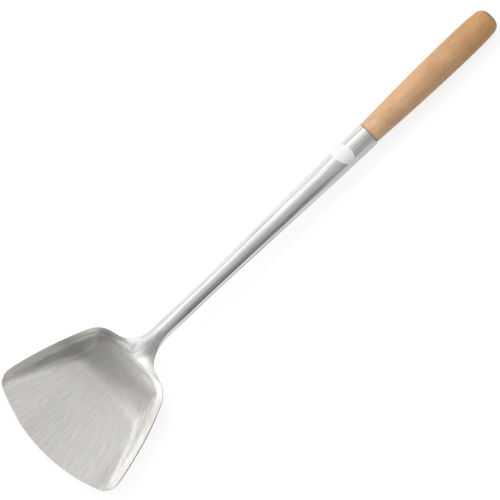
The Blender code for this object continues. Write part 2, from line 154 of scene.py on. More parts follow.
class LabelSettings(bpy.types.PropertyGroup):
    """Sizes and colour of the paper label."""
    length: FloatProperty(
        name="Length", description="Length of the oval along the shank", default=0.0125, unit="LENGTH")
    girth: FloatProperty(
        name="Girth", description="Length of the oval round the shank", default=0.0210, unit="LENGTH")
    thickness: FloatProperty(
        name="Thickness", description="Thickness of the paper", default=0.00014, unit="LENGTH")
    lift: FloatProperty(
        name="Lift", description="Height of the glue line over the steel", default=0.00005, unit="LENGTH")
    from_mouth: FloatProperty(
        name="Place", description="Distance of its middle from the mouth", default=0.0240, unit="LENGTH")
    angle: FloatProperty(
        name="Angle", description="Turn of its middle round the shank, from the left side upwards",
        default=math.radians(81.5), subtype="ANGLE")
    slant: FloatProperty(
        name="Slant", description="How much nearer the handle its right end sits than its left",
        default=0.0030, unit="LENGTH")
    paper_colour: FloatVectorProperty(
        name="Paper", description="Colour of the paper", subtype="COLOR", size=4,
        default=(0.81, 0.81, 0.80, 1.0), min=0.0, max=1.0)


class StageSettings(bpy.types.PropertyGroup):
    """The floor, the light and the camera."""
    floor_size: FloatProperty(
        name="Floor", description="Width of the floor", default=6.0, unit="LENGTH")
    floor_colour: FloatVectorProperty(
        name="Floor colour", description="Colour of the floor", subtype="COLOR", size=4,
        default=(0.33, 0.33, 0.33, 1.0), min=0.0, max=1.0)
    floor_glow: FloatProperty(
        name="Floor glow", description="How much white the floor shows besides its lit colour",
        default=0.74, min=0.0, max=1.0)
    lamp_power: FloatProperty(
        name="Soft lamp", description="Power of the soft lamp on the left", default=6.9, min=0.0,
        unit="POWER")
    fill_power: FloatProperty(
        name="Fill lamp", description="Power of the soft lamp on the right", default=3.8, min=0.0,
        unit="POWER")
    lamp_size: FloatProperty(
        name="Soft lamp size", description="Width of the soft lamp", default=1.1, unit="LENGTH")
    lamp_distance: FloatProperty(
        name="Soft lamp distance", description="Distance of the soft lamp", default=1.5, unit="LENGTH")
    lens: FloatProperty(
        name="Lens", description="Focal length in millimetres on a 36 mm sensor", default=400.0, min=1.0)
    distance: FloatProperty(
        name="Distance", description="Distance of the camera from its target",
        default=3.9960, unit="LENGTH")
    lean: FloatProperty(
        name="Lean", description="How far the camera leans from overhead to the near side",
        default=math.radians(14), subtype="ANGLE")
    roll: FloatProperty(
        name="Roll", description="Angle of the shank in the picture", default=math.radians(43.66),
        subtype="ANGLE")
    target: FloatProperty(
        name="Target", description="Distance of the picture's middle from the crest along the shank",
        default=0.1112, unit="LENGTH")
    target_shift: FloatProperty(
        name="Target shift", description="Distance of the picture's middle from the axis",
        default=-0.0018, unit="LENGTH")
    sky: FloatProperty(
        name="Dome", description="Strength of the light dome", default=1.0, min=0.0)


class SpatulaSettings(bpy.types.PropertyGroup):
    """All settings of the wok spatula."""
    steel: PointerProperty(type=SteelSettings)
    handle: PointerProperty(type=HandleSettings)
    label: PointerProperty(type=LabelSettings)
    stage: PointerProperty(type=StageSettings)


def settings():
    return bpy.context.scene.wok_spatula


# Places on the shank

def on_axis(x, left=0.0, up=0.0):
    """A point from its distance behind the crest, to the left of the axis and over it."""
    return CREST + ALONG * x + ACROSS * left + UP * up


def axis_part(point):
    """Distance behind the crest, to the left of the axis and over it."""
    away = point - CREST
    return away.dot(ALONG), away.dot(ACROSS), away.dot(UP)


def slope(x, low, high):
    """A smooth rise from nought at the low place to one at the high one."""
    share = min(max((x - low) / (high - low), 0.0), 1.0)
    return share * share * (3 - 2 * share)


def shank_radius(x):
    """Outer radius of the shank behind the crest."""
    steel = settings().steel
    share = max(x - steel.tube_start, 0.0) / (steel.tube_end - steel.tube_start)
    return steel.tube_radius + steel.tube_growth * share


def swollen(point):
    """A point of the neck or shank, moved out with the right wall, which the rolling drew out."""
    steel = settings().steel
    x, left, _ = axis_part(point)
    swell = steel.shank_swell * (1 - MOUTH_LOSS * slope(x, *MOUTH_SHRINK))
    swell += steel.neck_swell * (1 - slope(x, *NECK_END))
    side = min(max(0.5 - left / (2 * shank_radius(x)), 0.0), 1.0)
    return point - ACROSS * slope(x, *SWELL_START) * swell * side


def shank_matrix(x, angle, radius):
    """A place on the shank's face: local X points out, Z runs along the shank."""
    out = ACROSS * math.cos(angle) + UP * math.sin(angle)
    side = ALONG.cross(out)
    spot = swollen(on_axis(x) + out * radius)
    turn = Matrix((out, side, ALONG)).transposed().to_4x4()
    return Matrix.Translation(spot) @ turn


# Modelling helpers

def object_mode():
    bpy.ops.object.mode_set(mode="OBJECT")


def edit_all():
    """Goes into edit mode with the whole mesh selected."""
    bpy.ops.object.mode_set(mode="EDIT")
    bpy.ops.mesh.select_all(action="SELECT")


def deselect_all():
    if bpy.context.object and bpy.context.object.mode != "OBJECT":
        object_mode()
    bpy.ops.object.select_all(action="DESELECT")


def make_active(item):
    deselect_all()
    item.select_set(True)
    bpy.context.view_layer.objects.active = item


def select_verts(item, test):
    """Selects the vertices that pass a test, in edit mode."""
    bpy.ops.object.mode_set(mode="EDIT")
    bpy.ops.mesh.select_mode(type="VERT")
    bpy.ops.mesh.select_all(action="DESELECT")
    bm = bmesh.from_edit_mesh(item.data)
    for vert in bm.verts:
        vert.select = test(vert)
    bm.select_flush_mode()
    bmesh.update_edit_mesh(item.data)


def modifier(item, kind, **values):
    """Adds a modifier, sets its values and applies it."""
    make_active(item)
    step = item.modifiers.new(kind.lower(), kind)
    for key, value in values.items():
        setattr(step, key, value)
    bpy.ops.object.modifier_apply(modifier=step.name)


def place(item, matrix):
    """Puts a piece at its place and moves that place into its mesh."""
    make_active(item)
    item.matrix_world = matrix
    bpy.ops.object.transform_apply(location=True, rotation=True, scale=True)


def face_out(item):
    """Merges coincident points and turns all faces outwards."""
    make_active(item)
    edit_all()
    bpy.ops.mesh.remove_doubles(threshold=MERGE)
    bpy.ops.mesh.normals_make_consistent(inside=False)
    object_mode()


def finish_piece(item, material, node):
    """Gives a piece its material and shading, puts it under the root body and hides the solid it replaces.
    """
    make_active(item)
    bpy.ops.object.shade_smooth()
    item.data.materials.clear()
    item.data.materials.append(material)
    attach(item, "root")
    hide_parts(node)


# Node helpers

def new_group(name, inputs, outputs):
    """A shader node group with Float and Vector sockets."""
    tree = bpy.data.node_groups.new(name, "ShaderNodeTree")
    for side, sockets in (("INPUT", inputs), ("OUTPUT", outputs)):
        for socket, kind in sockets:
            tree.interface.new_socket(name=socket, in_out=side, socket_type=f"NodeSocket{kind}")
    return tree, tree.nodes.new("NodeGroupInput"), tree.nodes.new("NodeGroupOutput")


class Nodes:
    """Short ways to add and link nodes in one tree."""

    def __init__(self, tree):
        self.tree = tree

    def add(self, kind, **values):
        node = self.tree.nodes.new(kind)
        for key, value in values.items():
            setattr(node, key, value)
        return node

    def link(self, value, socket):
        """Links a socket to another, or sets it to a plain value."""
        if hasattr(value, "is_linked"):
            self.tree.links.new(value, socket)
        elif value is not None:
            socket.default_value = value

    def line_up(self, values, sockets):
        for value, socket in zip(values, sockets):
            self.link(value, socket)

    def fill(self, node, values):
        for key, value in values.items():
            self.link(value, node.inputs[key])

    def coordinates(self, kind):
        return self.add("ShaderNodeTexCoord").outputs[kind]

    def joined(self, *parts):
        node = self.add("ShaderNodeCombineXYZ")
        self.line_up(parts, node.inputs)
        return node.outputs[0]

    def parts(self, vector):
        node = self.add("ShaderNodeSeparateXYZ")
        self.link(vector, node.inputs[0])
        return node.outputs[:]

    def vector_math(self, operation, *values):
        node = self.add("ShaderNodeVectorMath", operation=operation)
        self.line_up(values, node.inputs)
        return node.outputs["Value" if operation == "DOT_PRODUCT" else "Vector"]

    def math(self, operation, *values, clamp=False):
        node = self.add("ShaderNodeMath", operation=operation, use_clamp=clamp)
        self.line_up(values, node.inputs)
        return node.outputs[0]

    def plus(self, first, second, clamp=False):
        return self.math("ADD", first, second, clamp=clamp)

    def minus(self, first, second):
        return self.math("SUBTRACT", first, second)

    def times(self, first, *others):
        for other in others:
            first = self.math("MULTIPLY", first, other)
        return first

    def layered(self, value, *layers, clamp=False):
        """A value with masks added one after another, each times its own share."""
        for number, (mask, share) in enumerate(layers, 1):
            last = number == len(layers)
            value = self.math("MULTIPLY_ADD", mask, share, value, clamp=clamp and last)
        return value

    def mix(self, factor, first, second, blend="MIX"):
        node = self.add("ShaderNodeMix", data_type="RGBA", blend_type=blend)
        self.line_up((factor, first, second), (node.inputs[0], *node.inputs[6:8]))
        return node.outputs[2]

    def tinted(self, colour, *layers):
        """A colour with others laid over it one after another, each by its own share."""
        for share, other in layers:
            colour = self.mix(share, colour, other)
        return colour

    def range(self, value, low, high, to_low=0.0, to_high=1.0, smooth=True):
        node = self.add("ShaderNodeMapRange", interpolation_type="SMOOTHSTEP" if smooth else "LINEAR")
        self.line_up((value, low, high, to_low, to_high), node.inputs)
        return node.outputs[0]

    def fall(self, value, low, high):
        """One up to the low place, and from there down to zero at the high one."""
        return self.range(value, low, high, 1.0, 0.0)

    def window(self, value, rise, fall):
        """One between two slopes, zero outside them."""
        return self.times(self.range(value, *rise), self.fall(value, *fall))

    def noise(self, vector, scale, detail=2.0, rough=0.5, stretch=(1.0, 1.0, 1.0), distort=0.0):
        spread = self.vector_math("MULTIPLY", vector, stretch)
        node = self.add("ShaderNodeTexNoise")
        self.fill(node, {"Vector": spread, "Scale": scale, "Detail": detail, "Roughness": rough,
                         "Distortion": distort})
        return node.outputs["Fac"]

    def ramp(self, value, stops):
        node = self.add("ShaderNodeValToRGB")
        elements = node.color_ramp.elements
        for position, _ in stops[2:]:
            elements.new(position)
        for element, (position, colour) in zip(elements, stops):
            element.position = position
            element.color = colour
        self.link(value, node.inputs[0])
        return node.outputs[0]

    def bump(self, height, strength, distance, before=None):
        node = self.add("ShaderNodeBump")
        self.fill(node, {"Height": height, "Strength": strength, "Distance": distance, "Normal": before})
        return node.outputs[0]


def greys(stops):
    """Stops of a grey ramp from places and levels."""
    return [(position, (level, level, level, 1.0)) for position, level in stops]


def new_material(name):
    material = bpy.data.materials.new(name)
    material.use_nodes = True
    return material, Nodes(material.node_tree), material.node_tree.nodes["Principled BSDF"]


def use_group(nodes, tree, **values):
    """The outputs of a node group that is placed in a material."""
    node = nodes.add("ShaderNodeGroup", node_tree=tree)
    nodes.fill(node, values)
    return node.outputs


# Shared node groups

# Where the fan of brushed lines starts, behind the crest and left of the axis, and its width per radian
FAN_BEHIND = 0.035
FAN_LEFT = 0.013
FAN_WIDTH = 0.10


def shank_coordinates():
    """A group that turns object coordinates into places along, across and round the shank's axis."""
    name = "shank coordinates"
    if name in bpy.data.node_groups:
        return bpy.data.node_groups[name]
    tree, source, result = new_group(
        name, [("Vector", "Vector")],
        [("Vector", "Vector"), ("Along", "Float"), ("Across", "Float"), ("Round", "Float"),
         ("Fan", "Vector")])
    nodes = Nodes(tree)
    away = nodes.vector_math("SUBTRACT", source.outputs["Vector"], CREST)
    along, across, over = (nodes.vector_math("DOT_PRODUCT", away, axis) for axis in (ALONG, ACROSS, UP))
    nodes.fill(result, {"Vector": nodes.joined(along, across, over), "Along": along, "Across": across,
                        "Round": nodes.math("ARCTAN2", across, over),
                        "Fan": fan_vector(nodes, along, across)})
    return tree


def fan_vector(nodes, along, across):
    """Places on a fan of lines that spreads from a point behind the crest towards the blade's front."""
    away = nodes.minus(FAN_BEHIND, along)
    left = nodes.minus(across, FAN_LEFT)
    squares = nodes.plus(nodes.times(away, away), nodes.times(left, left))
    turn = nodes.math("ARCTAN2", left, away)
    return nodes.joined(nodes.math("SQRT", squares), nodes.times(turn, FAN_WIDTH))


def brushed_lines():
    """A group with fine lines along one coordinate, broader ones and slow patches."""
    name = "brushed lines"
    if name in bpy.data.node_groups:
        return bpy.data.node_groups[name]
    tree, source, result = new_group(
        name, [("Vector", "Vector"), ("Lines", "Float"), ("Length", "Float")],
        [("Fine", "Float"), ("Broad", "Float"), ("Patch", "Float")])
    nodes = Nodes(tree)
    vector, lines, length = source.outputs[:3]
    squeeze = nodes.joined(length, 1.0, 1.0)
    broader = nodes.times(lines, 0.44)
    nodes.fill(result, {"Fine": nodes.noise(vector, lines, detail=3.0, rough=0.6, stretch=squeeze),
                        "Broad": nodes.noise(vector, broader, detail=1.0, stretch=squeeze),
                        "Patch": nodes.noise(vector, 45.0, detail=4.0, rough=0.55)})
    return tree


def shank_spot(nodes):
    """The shank's own coordinates in a material."""
    return use_group(nodes, shank_coordinates(), Vector=nodes.coordinates("Object"))


# Finishes

# Tints of the steel besides its main colour, with painted highlights on the right back corner and right
# wall, and painted shade on the left wall and the cut edge
COOL_CLOUD = (0.620, 0.611, 0.590, 1.0)
WARM_CLOUD = (0.645, 0.602, 0.583, 1.0)
DRAWN_STEEL = (0.620, 0.617, 0.608, 1.0)
WORN_CREST = (0.82, 0.82, 0.805, 1.0)
CORNER_HIGHLIGHT = (0.88, 0.88, 0.86, 1.0)
NEAR_WALL_SHEEN = (0.96, 0.95, 0.92, 1.0)
FAR_WALL_SHADE = (0.715, 0.705, 0.682, 1.0)
EDGE_SHADE = (0.12, 0.12, 0.117, 1.0)
STEEL_SHEEN = (0.85, 0.85, 0.85, 1.0)

# Half the width of the blade's floor at the crest, and how much it changes with each metre behind it
FLOOR_HALF = 0.0383
FLOOR_TAPER = -0.263

# Colour of the wood's flecks, and what the wood is multiplied by from the mouth to the butt, whose end is
# darkened partly for its darker end grain and partly as painted shade
FLECKS = (0.36, 0.18, 0.08, 1.0)
REDDENING_AND_BUTT_SHADE = (
    (0.0, (1.0, 1.04, 1.10, 1.0)), (0.45, (0.87, 0.85, 0.79, 1.0)), (0.70, (0.82, 0.77, 0.69, 1.0)),
    (0.975, (0.80, 0.69, 0.51, 1.0)), (1.0, (0.36, 0.26, 0.16, 1.0)))


def steel_zones(nodes, spot, patch):
    """Shares of the blade, of the crest's wear and of the satin neck."""
    along, across = spot["Along"], spot["Across"]
    crest = nodes.times(
        nodes.range(along, -0.0070, -0.0035),
        nodes.fall(nodes.layered(along, (across, -0.24)), 0.0040, 0.0088),
        nodes.fall(nodes.math("ABSOLUTE", across), 0.009, 0.020),
        nodes.range(patch, 0.30, 0.62, 0.60, 1.0))
    neck = nodes.window(along, (0.000, 0.006), (0.016, 0.034))
    return nodes.fall(along, -0.004, 0.000), crest, neck


def steel_lines(nodes, spot, blade):
    """Brushed lines that fan out over the blade and run straight along the shank."""
    choice = nodes.add("ShaderNodeMix", data_type="VECTOR")
    nodes.line_up((blade, spot["Vector"], spot["Fan"]), (choice.inputs[0], *choice.inputs[4:6]))
    length = nodes.layered(0.018, (blade, 0.05))
    lines = use_group(nodes, brushed_lines(), Vector=choice.outputs[1], Lines=2000.0, Length=length)
    return lines["Fine"], lines["Broad"], lines["Patch"]


def floor_shade_and_light(nodes, spot):
    """Shares of the patch of painted shade in the blade's rear by the heel, and of the lighter patch of
    painted light at its left.
    """
    along, across = spot["Along"], spot["Across"]
    heel_shade = nodes.times(
        nodes.range(along, -0.044, -0.028),
        nodes.fall(nodes.layered(along, (across, 0.16)), -0.024, -0.013),
        nodes.range(across, -0.034, 0.010, 0.25, 1.0))
    left = nodes.times(nodes.window(across, (0.014, 0.034), (0.040, 0.046)),
                       nodes.fall(along, -0.056, -0.040))
    return heel_shade, left


def painted_shank_bands(nodes, spot):
    """Bands of painted highlight and painted shade along the shank, lighter and darker, from its left side
    to its right.
    """
    turn, along = spot["Round"], spot["Along"]
    light = nodes.window(turn, (0.59, 0.66), (1.25, 1.50))
    line = nodes.window(turn, (0.50, 0.55), (0.58, 0.62))
    upper = nodes.minus(turn, nodes.range(along, 0.090, 0.210, 0.07, -0.10))
    dark = nodes.window(upper, (-1.16, -1.09), (-0.95, -0.88))
    lower = nodes.fall(along, 0.090, 0.145)
    edge = nodes.times(nodes.range(turn, -1.24, -1.40), nodes.layered(-0.25, (lower, -0.12)))
    thin = nodes.times(nodes.window(turn, (-1.12, -0.98), (-0.52, -0.32)), lower)
    calm = nodes.times(nodes.window(turn, (-0.34, -0.20), (0.08, 0.20)), lower)
    mouth = nodes.times(nodes.window(turn, (-0.96, -0.87), (-0.64, -0.52)),
                        nodes.range(along, 0.172, 0.200))
    bands = nodes.plus(edge, nodes.layered(nodes.times(light, 0.20), (line, -0.10), (dark, -0.41)))
    return nodes.layered(bands, (thin, -0.12), (calm, -0.10), (mouth, 0.34))


def back_corners(nodes, spot):
    """The right back corner's painted highlight, and painted light and shade: the heel's wall lighter, the
    left back lip and the outward-turned right corner darker.
    """
    along, across = spot["Along"], spot["Across"]
    side = nodes.parts(nodes.coordinates("Normal"))[1]
    bright = nodes.times(nodes.window(along, (-0.0110, -0.0035), (-0.0015, 0.0010)),
                         nodes.range(across, -0.008, -0.018))
    wall = nodes.times(nodes.window(along, (-0.0160, -0.0060), (-0.0020, 0.0010)),
                       nodes.fall(across, 0.014, 0.026))
    lip = nodes.times(nodes.range(nodes.layered(along, (across, 0.385)), 0.0036, 0.0056),
                      nodes.window(across, (0.008, 0.012), (0.031, 0.036)),
                      nodes.fall(along, 0.0005, 0.0030))
    turned = nodes.times(nodes.range(side, -0.15, -0.42),
                         nodes.window(along, (-0.034, -0.020), (0.006, 0.014)),
                         nodes.range(across, -0.010, -0.016))
    return bright, nodes.layered(nodes.times(wall, 0.20), (lip, -0.40), (turned, -0.62))


def satin_and_shaded_walls(nodes, spot):
    """Shares of the two inner side walls: the right one, more matte from the brushing and painted lighter
    as a painted reflection, and the left one, painted darker as painted shade.
    """
    across = spot["Across"]
    _, side, height = nodes.parts(nodes.coordinates("Normal"))
    inside = nodes.times(nodes.range(height, 0.05, 0.20), nodes.fall(spot["Along"], -0.008, -0.002))
    near = nodes.times(nodes.range(side, 0.35, 0.62), nodes.math("LESS_THAN", across, 0.0), inside)
    far = nodes.times(nodes.range(side, -0.35, -0.62), nodes.math("GREATER_THAN", across, 0.0), inside)
    return near, far


def painted_edge_shade(nodes, spot):
    """One on the blade's cut edge, where the sheet faces outwards: there it is painted dark as painted
    shade.
    """
    way = nodes.coordinates("Normal")
    outward = nodes.joined(nodes.times(nodes.plus(spot["Along"], 0.045), 0.3), spot["Across"])
    facing = nodes.vector_math("DOT_PRODUCT", way, nodes.vector_math("NORMALIZE", outward))
    return nodes.times(nodes.range(facing, 0.35, 0.60),
                       nodes.window(nodes.parts(way)[2], (-0.40, -0.25), (0.72, 0.92)),
                       nodes.range(spot["Along"], -0.080, -0.070))


def steel_relief(nodes, spot, blade, crest, patch, fine):
    """The blade's shallow dish, the throat, dents, the crest's wear and the brushed lines, as bumps."""
    along, across = spot["Along"], spot["Across"]
    squared = nodes.times(across, across)
    half = nodes.layered(FLOOR_HALF, (along, FLOOR_TAPER))
    share = nodes.math("DIVIDE", nodes.math("ABSOLUTE", across), half)
    floor = nodes.times(nodes.fall(share, 0.70, 0.80), blade)
    throat = nodes.window(along, (0.002, 0.006), (0.010, 0.022))
    dents = nodes.noise(spot["Vector"], 90.0, detail=3.0)
    relief = None
    for height, strength, distance in (
            (nodes.times(squared, 0.9), floor, 1.0), (nodes.times(squared, -11.0), throat, 1.0),
            (dents, 0.25, 0.0004), (nodes.times(crest, patch), 0.30, 0.0005), (fine, 0.12, 0.00006)):
        relief = nodes.bump(height, strength, distance, relief)
    return relief


def sheet_steel():
    """Brushed blade, crest with wear, satin neck and polished shank, with painted light and shade on walls,
    heel, back corners, cut edge and shank.
    """
    material, nodes, shader = new_material("brushed sheet steel")
    spot = shank_spot(nodes)
    patch = nodes.noise(spot["Vector"], 260.0, detail=3.0, rough=0.6)
    blade, crest, neck = steel_zones(nodes, spot, patch)
    fine, broad, cloud = steel_lines(nodes, spot, blade)
    relief = steel_relief(nodes, spot, blade, crest, patch, fine)
    # Painted shade darkens the blade's rear by the heel; painted light lightens the floor by its left wall.
    heel_shade, left = floor_shade_and_light(nodes, spot)
    # The right back corner's share is painted as a highlight; the shade is painted light and shade on the
    # heel's wall and the back corners.
    bright, shade = back_corners(nodes, spot)
    # The right inner wall is painted lighter as a painted reflection, the left inner wall darker as painted
    # shade.
    near, far = satin_and_shaded_walls(nodes, spot)
    shank = nodes.range(spot["Along"], 0.030, 0.050)
    streaks = nodes.range(broad, 0.32, 0.68, -0.5, 0.5)
    fine, tinge = nodes.minus(fine, 0.5), nodes.minus(cloud, 0.5)
    # Along the shank the tone takes bands of painted highlight and painted shade.
    tone = nodes.layered(1.03, (streaks, nodes.layered(0.13, (shank, 0.10))), (fine, 0.46), (tinge, 0.08),
                         (heel_shade, -0.24), (left, 0.10), (painted_shank_bands(nodes, spot), shank))
    grey = nodes.add("ShaderNodeCombineColor")
    nodes.line_up([nodes.plus(tone, shade)] * 3, grey.inputs)
    # Painted light in these tints: a highlight on the right back corner, a reflection on the right wall,
    # and shade on the left wall and the cut edge.
    steel = nodes.tinted(
        COOL_CLOUD, (nodes.range(cloud, 0.38, 0.50), settings().steel.blade_colour[:]),
        (nodes.range(cloud, 0.52, 0.66), WARM_CLOUD),
        (nodes.range(spot["Along"], 0.000, 0.008), DRAWN_STEEL), (nodes.times(crest, 0.85), WORN_CREST),
        (bright, CORNER_HIGHLIGHT), (near, NEAR_WALL_SHEEN), (far, FAR_WALL_SHADE), (painted_edge_shade(nodes, spot), EDGE_SHADE))
    rough = nodes.layered(0.15, (blade, 0.13), (neck, 0.20), (crest, 0.20), (near, 0.32), (heel_shade, 0.12),
                          (fine, 0.10), (tinge, 0.08), clamp=True)
    nodes.fill(shader, {"Base Color": nodes.mix(1.0, steel, grey.outputs[0], "MULTIPLY"),
                        "Roughness": rough, "Normal": relief,
                        "Metallic": 1.0, "Specular Tint": STEEL_SHEEN})
    return material


def turned_wood():
    """Light, fine-grained turned wood, redder towards the butt, whose end is darkened partly for its end
    grain and partly as painted shade.
    """
    material, nodes, shader = new_material("turned wood")
    handle = settings().handle
    spot = shank_spot(nodes)
    vector = spot["Vector"]
    figure = nodes.noise(vector, 80.0, detail=3.0, rough=0.55, stretch=(0.55, 1.0, 1.0), distort=1.2)
    rings = nodes.noise(vector, 230.0, detail=3.0, rough=0.55, stretch=(0.09, 1.0, 0.5), distort=0.6)
    pores = nodes.noise(vector, 1300.0, rough=0.6, stretch=(0.16, 1.0, 1.0))
    curls = nodes.math("SINE", nodes.times(figure, 55.0))
    light = nodes.layered(nodes.range(rings, 0.28, 0.72, 0.40, 0.70, smooth=False),
                          (nodes.minus(figure, 0.5), 2.0), (curls, 0.10))
    light = nodes.plus(light, curly_grain(nodes, spot, figure), clamp=True)
    flecks = nodes.times(nodes.range(pores, 0.52, 0.72), 0.25)
    colour = nodes.tinted(handle.grain_colour[:], (light, handle.wood_colour[:]), (flecks, FLECKS))
    length = nodes.range(spot["Along"], handle.start, handle.start + handle.length, smooth=False)
    # The ramp darkens the butt's end, partly for its darker end grain and partly as painted shade.
    nodes.fill(shader, {"Base Color": nodes.mix(1.0, colour, nodes.ramp(length, REDDENING_AND_BUTT_SHADE), "MULTIPLY"),
                        "Roughness": nodes.layered(0.40, (pores, 0.18)),
                        "Normal": nodes.bump(pores, 0.20, 0.0001, nodes.bump(rings, 0.10, 0.0003)),
                        "Specular IOR Level": 0.55})
    return material


def curly_grain(nodes, spot, figure):
    """Short slanting ripples of light and shade in patches of the wood."""
    slanted = nodes.layered(spot["Along"], (spot["Across"], 0.8))
    phase = nodes.layered(nodes.times(figure, 70.0), (slanted, 2400.0))
    patch = nodes.range(nodes.noise(spot["Vector"], 60.0, detail=1.0), 0.48, 0.62)
    return nodes.times(nodes.math("SINE", phase), nodes.times(patch, 0.18))


def nail_steel():
    """Plain wire steel with a hammered head."""
    material, nodes, shader = new_material("nail steel")
    patch = nodes.noise(nodes.coordinates("Object"), 1500.0, detail=3.0, rough=0.6)
    shade = nodes.range(patch, 0.35, 0.65)
    nodes.fill(shader, {"Base Color": nodes.mix(shade, (0.38, 0.37, 0.36, 1.0), (0.60, 0.59, 0.58, 1.0)),
                        "Roughness": nodes.layered(0.22, (patch, 0.30)),
                        "Normal": nodes.bump(patch, 0.35, 0.0001), "Metallic": 1.0})
    return material


def label_paper():
    """Bare coated paper with faint fibres."""
    material, nodes, shader = new_material("label paper")
    vector = nodes.coordinates("Object")
    fibre = nodes.noise(vector, 2600.0, detail=4.0, rough=0.65)
    shade = nodes.layered(nodes.times(fibre, 0.4), (nodes.noise(vector, 300.0), 0.6))
    paper = nodes.mix(nodes.range(shade, 0.35, 0.65), (0.77, 0.77, 0.75, 1.0),
                      settings().label.paper_colour[:])
    nodes.fill(shader, {"Base Color": paper, "Roughness": nodes.layered(0.38, (fibre, 0.2)),
                        "Normal": nodes.bump(fibre, 0.15, 0.00005)})
    return material


# Pieces

class WOKSPATULA_OT_sheet(bpy.types.Operator):
    """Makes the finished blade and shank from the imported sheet"""
    bl_idname = "wokspatula.sheet"
    bl_label = "Blade and shank"

    def execute(self, context):
        steel = settings().steel
        deselect_all()
        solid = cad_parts["blade_and_shank"]
        item = bpy.data.objects.new("steel_sheet", solid.data.copy())
        context.scene.collection.objects.link(item)
        make_active(item)
        item.data.materials.clear()
        face_out(item)
        select_verts(item, lambda vert: axis_part(vert.co)[0] > steel.tube_start + HALF_SHEET)
        bpy.ops.mesh.delete(type="VERT")
        bpy.ops.mesh.select_all(action="SELECT")
        flat = math.radians(60)
        bpy.ops.mesh.tris_convert_to_quads(face_threshold=flat, shape_threshold=flat)
        self.draw_shank(item, steel)
        self.swell_walls(item)
        object_mode()
        face_out(item)
        modifier(item, "BEVEL", width=steel.edge_round, segments=2, limit_method="ANGLE",
                 angle_limit=math.radians(50))
        modifier(item, "SUBSURF", levels=1, render_levels=1)
        finish_piece(item, sheet_steel(), "blade_and_shank")
        return {"FINISHED"}

    def draw_shank(self, item, steel):
        """Draws the cut end of the sheet out along the shank, wider ring by ring, and closes the mouth."""
        bpy.ops.mesh.select_all(action="DESELECT")
        bpy.ops.mesh.select_mode(type="EDGE")
        bpy.ops.mesh.select_non_manifold(extend=False, use_wire=False, use_boundary=True,
                                         use_multi_face=False, use_non_contiguous=False,
                                         use_verts=False)
        for ring in range(1, steel.tube_rings + 1):
            x = steel.tube_start + (steel.tube_end - steel.tube_start) * ring / steel.tube_rings
            bpy.ops.mesh.extrude_region()
            bm = bmesh.from_edit_mesh(item.data)
            for vert in bm.verts:
                if vert.select:
                    self.move_out(vert, x)
            bmesh.update_edit_mesh(item.data)
        self.close_mouth(item)

    def swell_walls(self, item):
        """Moves the right wall of neck and shank out."""
        bm = bmesh.from_edit_mesh(item.data)
        for vert in bm.verts:
            vert.co = swollen(vert.co)
        bmesh.update_edit_mesh(item.data)

    def move_out(self, vert, x):
        """Moves a point on to the ring at x and out with the taper."""
        before, left, up = axis_part(vert.co)
        radius = math.hypot(left, up)
        grown = radius + shank_radius(x) - shank_radius(before)
        vert.co = on_axis(x, left * grown / radius, up * grown / radius)

    def close_mouth(self, item):
        """Fills the mouth's edge between the outer and the inner wall."""
        bm = bmesh.from_edit_mesh(item.data)
        ring = [vert for vert in bm.verts if vert.select]
        outer, inner = [], []
        for vert in ring:
            x, left, up = axis_part(vert.co)
            angle = math.atan2(left, up)
            wall = outer if math.hypot(left, up) > shank_radius(x) - HALF_SHEET else inner
            wall.append((angle, vert))
        outer, inner = ([vert for _, vert in sorted(wall, key=lambda pair: pair[0])]
                        for wall in (outer, inner))
        for step in range(len(outer) - 1):
            bm.faces.new((outer[step], outer[step + 1], inner[step + 1], inner[step]))
        bmesh.update_edit_mesh(item.data)


# The tenon's straight end, how far the bare wood's front corner is cut back and in, where the wood's
# own rings start, and how many rings there are along it and round the butt
TENON_STEP = 0.001
CORNER_BACK = 0.0002
CORNER_IN = 0.0003
WOOD_START = 0.0012
WOOD_RINGS = 24
BUTT_RINGS = 10


